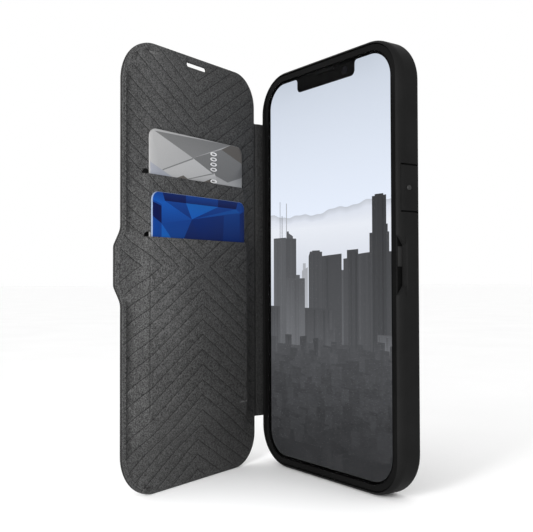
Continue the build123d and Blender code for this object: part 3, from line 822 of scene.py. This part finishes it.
BLUE_FACETS = [
    ([(27, 0), (21.8, 0), (20.6, -3.1), (22.3, -4.5), (27, -3)], BRIGHT, MID),
    ([(21.8, 0), (9, 0), (9, -3.1), (20.6, -3.1)], NAVY, (5, 27, 79)),
    ([(9, 0), (-9.9, 0), (-9.9, -3.1), (9, -3.1)], DEEP, MID),
    ([(-9.9, 0), (-22.7, 0), (-21.5, -3.1), (-9.9, -3.1)], NAVY, DEEP),
    ([(27, -3.8), (22.3, -5.1), (22.3, -11.5), (27, -9)], NAVY, NAVY),
    ([(20.6, -3.1), (9, -3.1), (5.7, -9)], (6, 37, 96), MID),
    ([(9, -3.1), (-9.9, -3.1), (5.7, -9)], BRIGHT, (14, 77, 146)),
    ([(-9.9, -3.1), (-21.5, -3.1), (5.7, -9)], (6, 35, 93), MID),
    ([(-21.5, -3.1), (-23.9, -4.5), (5.7, -9)], MID, (11, 66, 133)),
    ([(22.3, -4.5), (20.6, -3.1), (5.7, -9), (22.3, -11.5)], MID, BRIGHT),
    ([(22.3, -11.5), (5.7, -9), (10.4, -16.8), (17, -16.8)], (8, 49, 111), MID),
    ([(22.3, -11.5), (17, -16.8), (22.3, -16.8)], (13, 76, 147), BRIGHT),
    ([(5.7, -9), (-23.9, -4.5), (-23.9, -16.8), (10.4, -16.8)], (4, 22, 70), (6, 36, 94)),
    ([(-13.7, -5.9), (-23.9, -4.5), (-23.9, -16.8), (-13, -16.8)], DEEP, (8, 48, 109)),
    ([(-23.9, -4.9), (-27, -3.6), (-27, -16.8), (-23.9, -16.8)], DEEP, DEEP),
    ([(22.3, -16.8), (-4, -44), (22.3, -70)], MID, BRIGHT),
    ([(-23.9, -16.8), (-4, -44), (-23.9, -82)], NAVY, DEEP),
    ([(22.3, -70), (-4, -44), (-23.9, -82), (22.3, -82)], DEEP, (10, 63, 126)),
]


# ---------------- spine and back cloth
def spine_strip(name, path, thickness, material, steps=40):
    """Band that follows a path of (x, y) points, as tall as the spine and with softened ends."""
    bm = bmesh.new()
    section = thick_path(smooth_path(path), thickness)
    cx = sum(p[0] for p in section) / len(section)
    cy = sum(p[1] for p in section) / len(section)
    half = SPINE_HALF_H
    levels = [(-half, 0.985), (-half + 0.12, 1.0)]
    levels += [(-half + 2 * half * k / steps, 1.0) for k in range(1, steps)]
    levels += [(half - 0.12, 1.0), (half, 0.985)]
    rings = []
    for z, shrink in levels:
        rings.append([bm.verts.new((cx + (x - cx) * shrink, cy + (y - cy) * shrink, z)) for x, y in section])
    join_loops(bm, rings)
    return finish_mesh(name, bm, CASE_PLACE, None, material, 50)


def thick_path(points, thickness):
    """Closed band of even thickness to the right of a path of (x, y) points."""
    left, right = [], []
    for i, p in enumerate(points):
        ahead = Vector(points[min(i + 1, len(points) - 1)]) - Vector(points[max(i - 1, 0)])
        ahead.normalize()
        side = Vector((ahead.y, -ahead.x))
        left.append(tuple(p))
        right.append(tuple(Vector(p) + side * thickness))
    return left + right[::-1]


def smooth_path(points, per=4):
    """Catmull-Rom points through a few (x, y) points."""
    out = []
    pts = [Vector(p) for p in points]
    for i in range(len(pts) - 1):
        p0, p1, p2 = pts[max(i - 1, 0)], pts[i], pts[i + 1]
        p3 = pts[min(i + 2, len(pts) - 1)]
        slope, bend, twist = p2 - p0, 2 * p0 - 5 * p1 + 4 * p2 - p3, 3 * p1 - p0 - 3 * p2 + p3
        for k in range(per):
            t = k / per
            out.append(0.5 * (2 * p1 + slope * t + bend * t * t + twist * t ** 3))
    out.append(pts[-1])
    return out


def cover_xy(s, t):
    """Where a point of the cover, given across and in depth, lies at rest."""
    p = COVER_PLACE @ Vector((s, t, 0))
    return (p.x / MM, p.y / MM)


def spine_cloths(lining, outer):
    """The spine's three strips of cloth, each crossing a crease of the hinge."""
    inner = [
        cover_xy(1.5, 0.9), cover_xy(0.7, 0.9), (-41.62, -13.2), (-41.9, -12.85), (-41.62, -12.45),
        (-41.5, -11.9), (-41.45, -9.5), (-41.5, -6.7), (-41.52, -3.0), (-41.55, -1.2), (-41.7, -0.75),
    ]
    piece = spine_strip("spine_inner_cloth", inner, -0.35, lining)
    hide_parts("spine_lining")
    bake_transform(piece)
    front = [
        cover_xy(1.6, -0.5), cover_xy(0.8, -0.5), (-42.75, -13.6), (-42.6, -13.1), (-42.95, -12.5),
        (-43.15, -11.8), (-43.2, -9.0), (-43.2, SPINE_JOIN_Y - 0.02),
    ]
    piece_front = spine_strip("spine_outer_cloth_front", front, OUTER_T, outer)
    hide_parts("spine_fabric")
    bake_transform(piece_front)
    back = [
        (-43.2, SPINE_JOIN_Y), (-43.2, -3.4), (-43.18, -1.2), (-43.05, -0.3), (-42.7, 0.25), (-42.2, 0.42),
        (-41.7, 0.3), (-41.2, 0.08), (-40.4, 0.0), (-38.5, 0.0), (-36.5, 0.0),
    ]
    piece_back = spine_strip("spine_outer_cloth_back", back, OUTER_T, outer)
    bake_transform(piece_back)


def back_cloths(outer, lining):
    """Cloth on both faces of the back shell, cut out round the camera window."""
    wide, tall, corner = CASE_W - 2 * FLANGE, CASE_H - 2 * FLANGE, CASE_R - FLANGE
    outline = box_outline(wide, tall, corner)
    window = [(p[0], p[1]) for p in box_outline(WINDOW, WINDOW, WINDOW_R, WINDOW_X, WINDOW_Z)]
    bm = skirted_face(outline, [(0.0, -0.75), (0.0, -0.2), (0.07, -0.05), (0.25, 0.0)], window, -0.75)
    grid_cuts(bm, 4.0)
    piece = finish_mesh("back_cloth", bm, CASE_PLACE, "case", outer, 50)
    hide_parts("back_fabric")
    bm = skirted_face(outline, [(0.0, -1.85), (0.0, -2.2), (0.08, -2.28), (0.3, -2.3)], window, -1.85)
    grid_cuts(bm, 5.0)
    inside = finish_mesh("case_lining_cloth", bm, CASE_PLACE, "case", lining, 50)
    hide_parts("case_lining")


def power_dot(material):
    """Thin cap over the raised dot on the power button's cover, coloured paler than the button as a painted
    highlight on the dot.
    """
    bm = bmesh.new()
    turns = [2 * math.pi * k / 32 for k in range(32)]
    loops = []
    for r, x in ((0.955, 41.12), (0.79, 41.59), (0.77, 41.62), (0.7, 41.64)):
        loops.append([bm.verts.new((x, DOT_Y + r * math.cos(a), DOT_Z + r * math.sin(a))) for a in turns])
    join_loops(bm, loops)
    piece = finish_mesh("power_button_dot", bm, CASE_PLACE, "power_button", material, 50)


# ---------------- wallpaper
CITY_FOOT, CITY_ROWS, ROW_STEP = -71, 15, 3.0  # height of the nearest roofs, how many rows, and their rise
PICTURE_Y, FACE_HEIGHT = GLASS_Y + 0.75, 9.0  # depth of the picture, and its buildings' tallest face


def skyline():
    """Layers of a made-up city, front to back: (x low, x high, top left, top right, tone low, tone high)."""
    rng = random.Random(7)
    layers = [(-36, 36, -70.0, -70.0, 56, 60)]
    for row in range(CITY_ROWS):
        x = -38 + rng.uniform(0, 3)
        while x < 36:
            w = rng.uniform(2.0, 6.5)
            top = CITY_FOOT + row * ROW_STEP + rng.uniform(-2.6, 2.6)
            tone = 62 + (top - CITY_FOOT) * 0.5 + rng.uniform(-5, 5)
            layers.append((x, x + w + 0.6, top, top + rng.uniform(-0.5, 0.5), tone * 0.9, tone))
            x += w
    layers.sort(key=lambda layer: layer[2])
    layers += [
        (28.5, 35.6, -24.5, -24.5, 96, 112),
        (-0.5, 6.8, -30, -30, 82, 92), (0.8, 1.6, -21.5, -21.5, 86, 96), (4.6, 5.4, -21.5, -21.5, 86, 96),
        (1.6, 4.6, -24, -24, 84, 94), (18, 26.5, -36, -36, 84, 96),
        (-25.2, -12.8, -4, -4, 92, 112), (-18.5, -16, -2.6, -2.6, 92, 114),
        (-36, -29.5, -15.5, -15.5, 84, 96), (-12.9, 4.8, -15.8, -15.8, 80, 92),
        (-33.6, -25.2, 12.9, 12.9, 92, 102), (-25.2, -18.3, 12.6, 12.2, 84, 94),
        (-24.6, -23.2, 15.4, 15.4, 92, 98), (-23.2, -20.4, 14.6, 13.2, 96, 104),
        (-10.3, -9.4, 4.8, 6.6, 76, 90), (-9.4, -2, 6.6, 6.3, 80, 88), (-8.2, -3.4, 6.9, 6.9, 80, 88),
        (-2, 9.4, 4.6, 5.2, 76, 86), (9.4, 10.4, -1, -1, 90, 104), (10.4, 13, 3.2, 3.4, 80, 90),
        (12.4, 18.6, 6.4, 6.6, 74, 84), (18.6, 23.8, 4.8, 5.2, 78, 88),
        (26, 33.2, 25.4, 25.4, 62, 78), (27.4, 31.8, 26, 26, 60, 76),
        (24.6, 34.6, 12.2, 12.2, 72, 84), (23.6, 35.6, 5.2, 5.2, 74, 86), (33.2, 33.9, 15, 15, 66, 84),
        (-19, -17.5, -3.2, -3.2, 96, 116), (-14.6, -10.9, -1, 0.4, 168, 196), (-14, -12.2, 2, 2, 176, 200),
        (-29.3, -29, 28, 28, 116, 96), (-28, -27.6, 22, 22, 116, 96), (-25, -24.5, 27, 27, 168, 150),
    ]
    strips = []
    for x_low, x_high, left, right, low, high in layers:
        top = min(left, right)
        if top > -30 and x_high - x_low > 3:
            x = x_low + rng.uniform(0.3, 1.2)
            while x < x_high - 0.6:
                w = rng.uniform(0.4, 1.4)
                change = rng.uniform(-7, 5)
                end = min(x + w, x_high - 0.2)
                strips.append((x, end, top - 0.7, top - 0.7, low + change, high + change))
                x += w + rng.uniform(0.5, 1.8)
    return layers, strips


def haze_tone(layer, z):
    """Tone of a building at height z: between its own two tones, and darker near the ground."""
    _, _, left, right, low, high = layer
    t = unit((z + 30) / max(max(left, right) + 30, 3.0))
    return (high + (low - high) * t) * (1 - 0.14 * unit((-28 - z) / 40))


def ridge_top(x):
    """Height of the far hills."""
    waves = 1.3 * math.sin(x * 0.075 - 0.6) + 0.5 * math.sin(x * 0.31) + 0.2 * math.sin(x * 0.9)
    return RIDGE_Z + waves + 0.012 * x


MIST_TOP, RIDGE_Z, RIDGE_DEEP = 16.0, 22.6, 2.5
SKY_LEVELS = (25, 29, 35, 42, 50, 60, 68)
SKY_TONES = {  # display colours that each part of the sky runs between
    "sky": ((198, 206, 218), (234, 242, 256)), "ridge": ((196, 201, 210), (222, 227, 238)),
    "mist": ((234, 238, 246), (222, 227, 238)), "mist low": ((206, 211, 222), (234, 238, 246)),
}


def picture_colour(kind, x, z):
    """Colour of one point of the picture. kind is a part of the sky or a building."""
    if not isinstance(kind, str):
        tone = haze_tone(kind, z)
        return rgb(tone, tone * 1.015, tone * 1.05)
    t = {
        "sky": unit((77 - z) / 62) ** 0.6, "ridge": unit((ridge_top(x) - z) / RIDGE_DEEP),
        "mist": unit((z - MIST_TOP) / 4), "mist low": unit((z + 10) / 24),
    }[kind]
    return rgb(*(low + (high - low) * t for low, high in zip(*SKY_TONES[kind])))


def column(left, right, layers, strips):
    """What one column of the picture shows from the ground up, as (top left, top right, kind) bands."""
    middle = (left + right) / 2
    bands = []
    current = -90.0
    for layer in layers:
        if layer[0] <= middle < layer[1]:
            slope = (layer[3] - layer[2]) / (layer[1] - layer[0])
            a, b = (layer[2] + slope * (x - layer[0]) for x in (left, right))
            if min(a, b) > current + 0.05:
                for strip in strips:
                    if strip[0] <= middle < strip[1] and 0 < min(a, b) - strip[2] < 1.0 and strip[2] > current:
                        bands.append((strip[2], strip[3], strip))
                        break
                bands.append((a, b, layer))
                current = max(a, b)
    ridge_l, ridge_r = ridge_top(left), ridge_top(right)
    if current < MIST_TOP:
        bands.append((MIST_TOP, MIST_TOP, "mist low"))
        current = MIST_TOP
    if current < min(ridge_l, ridge_r) - RIDGE_DEEP - 0.3:
        bands.append((ridge_l - RIDGE_DEEP, ridge_r - RIDGE_DEEP, "mist"))
        current = max(ridge_l, ridge_r) - RIDGE_DEEP
    if current < min(ridge_l, ridge_r) - 0.1:
        bands.append((ridge_l, ridge_r, "ridge"))
        current = max(ridge_l, ridge_r)
    bands += [(level, level, "sky") for level in SKY_LEVELS if level > current + 0.3]
    return bands + [(200.0, 200.0, "sky")]


def wallpaper(material):
    """Flat picture of a hazy city, one mesh, coloured corner by corner."""
    layers, strips = skyline()
    half = SCREEN_W / 2
    edges = [x for layer in layers + strips for x in layer[:2] if -half < x < half]
    edges += [-half + SCREEN_W * k / 36 for k in range(37)]
    edges += [min(max(x, -half), half) for x, _, _, _ in box_outline(SCREEN_W, SCREEN_H, SCREEN_R, 0, 0, 0.6)]
    edges += [side * x for side in (-1, 1) for x in (NOTCH_HALF, 17.6, 18.2, NOTCH_OUT)]
    edges = sorted({round(x, 3) for x in edges})
    xs = [x for i, x in enumerate(edges) if i == 0 or x - edges[i - 1] > 0.02]

    def limit(x):
        """Half height of the picture at x, with its round corners."""
        d = min(max(abs(x) - half + SCREEN_R, 0), SCREEN_R)
        return SCREEN_H / 2 - SCREEN_R + math.sqrt(SCREEN_R ** 2 - d ** 2)

    def ceiling(x):
        """Lower edge of the sensor bar, where there is one."""
        if abs(x) < NOTCH_HALF:
            d = max(abs(x) - NOTCH_HALF + NOTCH_R, 0)
            return NOTCH_Z + NOTCH_R - math.sqrt(max(NOTCH_R ** 2 - d ** 2, 0))
        d = max(NOTCH_OUT - abs(x), 0)
        return SCREEN_H / 2 - EAR_R + math.sqrt(max(EAR_R ** 2 - d ** 2, 0))

    bm = bmesh.new()
    ink = bm.loops.layers.float_color.new("ink")
    cache = {}

    def vert(x, z):
        key = (round(x, 4), round(z, 4))
        if key not in cache:
            cache[key] = bm.verts.new((key[0], PICTURE_Y, key[1]))
        return cache[key]

    inner = NOTCH_HALF - 0.001
    for left, right in zip(xs, xs[1:]):
        top_l, top_r = min(limit(left), ceiling(left)), min(limit(right), ceiling(right))
        if abs(left + right) / 2 < NOTCH_HALF:
            top_l, top_r = (ceiling(min(max(x, -inner), inner)) for x in (left, right))
        a, b = -limit(left), -limit(right)
        for band_l, band_r, kind in column(left, right, layers, strips):
            steps = 1
            if not isinstance(kind, str):
                steps = max(1, int((max(band_l, band_r) - max(a, b)) / FACE_HEIGHT))
            start_l, start_r = a, b
            for k in range(1, steps + 1):
                c = max(a, min(start_l + (band_l - start_l) * k / steps, top_l))
                d = max(b, min(start_r + (band_r - start_r) * k / steps, top_r))
                if c <= a + 1e-4 and d <= b + 1e-4:
                    continue
                ring = [vert(left, a), vert(right, b), vert(right, d), vert(left, c)]
                ring = [v for i, v in enumerate(ring) if v not in ring[:i]]
                if len(ring) > 2:
                    try:
                        face = bm.faces.new(ring)
                    except ValueError:
                        continue
                    for loop in face.loops:
                        loop[ink] = picture_colour(kind, loop.vert.co.x, loop.vert.co.z)
                a, b = c, d
    bmesh.ops.remove_doubles(bm, verts=bm.verts, dist=1e-4)
    piece = finish_mesh("screen_picture", bm, CASE_PLACE, "phone", material)
    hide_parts("display_panel")


def picture_material():
    """Lit picture: stored colours, with faint rows of windows on the buildings and soft grain."""
    s = Shader("screen_picture")
    where = s.coords(True)
    ink = s.attribute("ink").outputs["Color"]
    swizzle = s.node("ShaderNodeSeparateXYZ", Vector=where)
    flat = s.node("ShaderNodeCombineXYZ", X=swizzle.outputs["X"], Y=swizzle.outputs["Z"])
    bricks = s.node(
        "ShaderNodeTexBrick", Vector=flat.outputs[0], Scale=1.0, Brick_Width=0.8, Row_Height=0.62,
        Mortar_Size=0.14, Mortar_Smooth=0.4, Color1=even(1.14), Color2=even(0.98), Mortar=even(0.9),
    )
    bricks.offset = 0.0
    value = s.node("ShaderNodeSeparateColor", Color=ink)
    dark = s.ramp(value.outputs[1], [(0.12, 1), (0.3, 0)])
    patchy = s.noise(where, 0.16, 3.0, 0.7)
    amount = s.math("MULTIPLY", dark, s.ramp(patchy, [(0.35, 0.15), (0.65, 1)]))
    windows = s.mix(amount, even(1), bricks.outputs["Color"])
    colour = s.times(ink, windows)
    clutter = s.noise(where, 0.9, 4.0, 0.75, stretch=(0.7, 1.0, 1.8))
    low = s.ramp(s.math("MULTIPLY", swizzle.outputs["Z"], -0.0125), [(0.30, 0), (0.55, 1)])
    colour = s.times(colour, s.mix(low, even(1), s.ramp(clutter, [(0.35, 0.84), (0.7, 1.2)])))
    s.surface(Base_Color=even(0.0), Emission_Color=colour, Emission_Strength=1.03)
    s.surface(Roughness=0.6, Specular_IOR_Level=0.0)
    return s.material


# ---------------- camera, floor and light
AZIMUTH, ELEVATION, ROLL, LENS = 54.03, -1.24, 0.15, 52.2
EYE = (0.22904, -0.20353, -0.00576)
LIGHTS = (  # name, place, aim, size and power
    ("key", (0.1, -0.23, 0.02), (-0.02, -0.08, 0.0), (0.05, 0.16), 0.55),
    ("fill", (0.1, -0.8, 0.4), (-0.05, -0.04, -0.01), (0.35, 0.35), 0.2),
    ("rim", (0.75, 0.15, 0.35), (0.04, 0.0, 0.0), (0.25, 0.6), 0.5),
)


def place_camera():
    """The camera that was fitted to the photo."""
    data = bpy.data.cameras.new("camera")
    data.lens = LENS
    data.sensor_width = 36.0
    data.clip_start, data.clip_end = 0.01, 50.0
    camera = add_object("camera", data)
    turn = Matrix.Rotation(math.radians(AZIMUTH), 4, "Z")
    tilt = Matrix.Rotation(math.pi / 2 - math.radians(ELEVATION), 4, "X")
    camera.matrix_world = Matrix.Translation(EYE) @ (turn @ tilt) @ Matrix.Rotation(math.radians(-ROLL), 4, "Z")
    bpy.context.scene.camera = camera


def area_light(name, place, aim, size, power):
    data = bpy.data.lights.new(name, "AREA")
    data.shape = "RECTANGLE"
    data.size, data.size_y = size
    data.energy = power
    light = add_object(name, data)
    light.visible_camera = False
    toward = Vector(aim) - Vector(place)
    light.matrix_world = Matrix.Translation(place) @ toward.to_track_quat("-Z", "Y").to_matrix().to_4x4()


def floor_and_light():
    s = Shader("studio_floor")
    where = s.coords(False)
    tone = s.noise(where, 0.01, 2.0, 0.5)
    base = s.ramp(tone, [(0.3, 0.96), (0.7, 0.99)])
    s.surface(Base_Color=base, Roughness=0.8, Specular_IOR_Level=0.3)
    bm = bmesh.new()
    bmesh.ops.create_grid(bm, x_segments=24, y_segments=24, size=20.0)
    mesh = bpy.data.meshes.new("floor")
    bm.to_mesh(mesh)
    bm.free()
    mesh.materials.append(s.material)
    floor = add_object("floor", mesh)
    floor.location.z = LOADED_BOUNDS[0][2] - 0.0001
    world = bpy.data.worlds.new("studio")
    world.use_nodes = True
    background = world.node_tree.nodes["Background"]
    background.inputs["Color"].default_value = even(1.0)
    background.inputs["Strength"].default_value = 1.0
    bpy.context.scene.world = world
    bpy.context.scene.view_settings.view_transform = "Standard"
    for light in LIGHTS:
        area_light(*light)


# CAD nodes that share a material, then its name, colour, roughness and what else moulded() takes, in its order
FINISHES = (
    ("bumper camera_ring", "bumper_rubber", grey(24), 0.5, 2.5, 0.02, 0.03),
    ("power_button_cover volume_up_cover volume_down_cover", "button_rubber", grey(25), 0.5, 2.5, 0.02, 0.03),
    ("back_shell", "shell_plastic", grey(46), 0.5, 2.0, 0.01),
    ("spine_board cover_board", "stiffener_board", grey(130, 4), 0.8, 1.2, 0.03, 0.2),
    ("case_magnet tab_magnet", "magnet_steel", grey(170), 0.35, 3.0, 0.004, 0.5, 0.9),
    (
        "phone_frame side_key volume_up_key volume_down_key mute_lever",
        "phone_frame_metal", grey(14), 0.35, 5.0, 0.004, 0.03,
    ),
    ("display_bezel sensor_bar", "black_mask", grey(5), 0.3, 2.0, 0.002, 0.02),
    ("earpiece_mesh", "earpiece_mesh", grey(11), 0.5, 9.0, 0.03, 0.03),
    ("front_camera camera_lens_glasses", "lens_glass", rgb(5, 5, 11), 0.12, 0.5, 0.001, 0.05),
    ("mid_plate charging_port", "inner_metal", grey(150), 0.4, 3.0, 0.004, 0.5, 0.9),
    ("battery", "battery_foil", grey(70), 0.45, 1.5, 0.01),
    ("logic_board", "board_mask", rgb(20, 80, 52), 0.4, 1.0, 0.01),
    ("antenna_window", "antenna_window", grey(46), 0.4, 3.0, 0.005, 0.05),
    ("back_glass camera_plateau", "back_glass", grey(52), 0.4, 3.0, 0.003, 0.5),
    ("camera_lens_rings", "lens_metal", grey(90), 0.3, 6.0, 0.004, 0.5, 0.9),
    ("flash_window", "flash_window", rgb(235, 228, 200), 0.35, 1.5, 0.02, 0.5),
)


def main():
    """Builds every piece, then gives the CAD nodes that stay in view their materials."""
    place_camera()
    lining = fabric("lining_fabric", grey(30), grey(90), painted_light=LINING_PAINTED_LIGHT)
    # Darker copy of the lining cloth: painted shade on the spine strip in the crease beside the phone.
    spine_lining = fabric("spine_lining", grey(26), grey(54))
    outer = fabric("outer_fabric", grey(26), grey(58), weave=1.6, fuzz=0.1)
    # Near-black cloth: painted shade inside the card pockets.
    pocket_inside = fabric("pocket_inside", grey(6), grey(13))
    thread = fabric("stitch_thread", grey(62), grey(104), weave=4.0)

    cover_lining(lining, stitching(thread))
    pocket_backing(pocket_inside)
    cover_outer(outer)
    spine_cloths(spine_lining, outer)
    back_cloths(outer, lining)

    silver_print = painted("silver_card_print", 0.35, 0.15, 0.04)
    blue_print = painted("blue_card_print", 0.4, 0.04, 0.05)
    bank_card(
        "silver_bank_card", "silver_card", "upper_card", SILVER_TOP, SILVER_DEPTH,
        SILVER_BASE, SILVER_FACETS, grey(140), silver_print,
    )
    raised = moulded("card_digit_foil", grey(205), 0.3, 3.0, 0.005, 0.3)
    face = SILVER_DEPTH + CARD_T
    card_digits("0000  0000  0000  0000", face, "upper_card", raised, "silver_card_digits")
    bank_card(
        "blue_bank_card", "blue_card", "lower_card", BLUE_TOP, BLUE_DEPTH,
        BLUE_BASE, BLUE_FACETS, rgb(120, 134, 158), blue_print,
    )

    wallpaper(picture_material())

    # The dot's paler grey is a painted highlight.
    power_dot(moulded("button_dot_painted_highlight", grey(46), 0.4, 2.5, 0.01, 0.1))
    for names, *look in FINISHES:
        material = moulded(*look)
        for name in names.split():
            paint(name, material)
    paint("front_glass", clear_glass("screen_glass", (0.02, 0.02, 0.022, 1.0), 0.02))

    floor_and_light()


main()
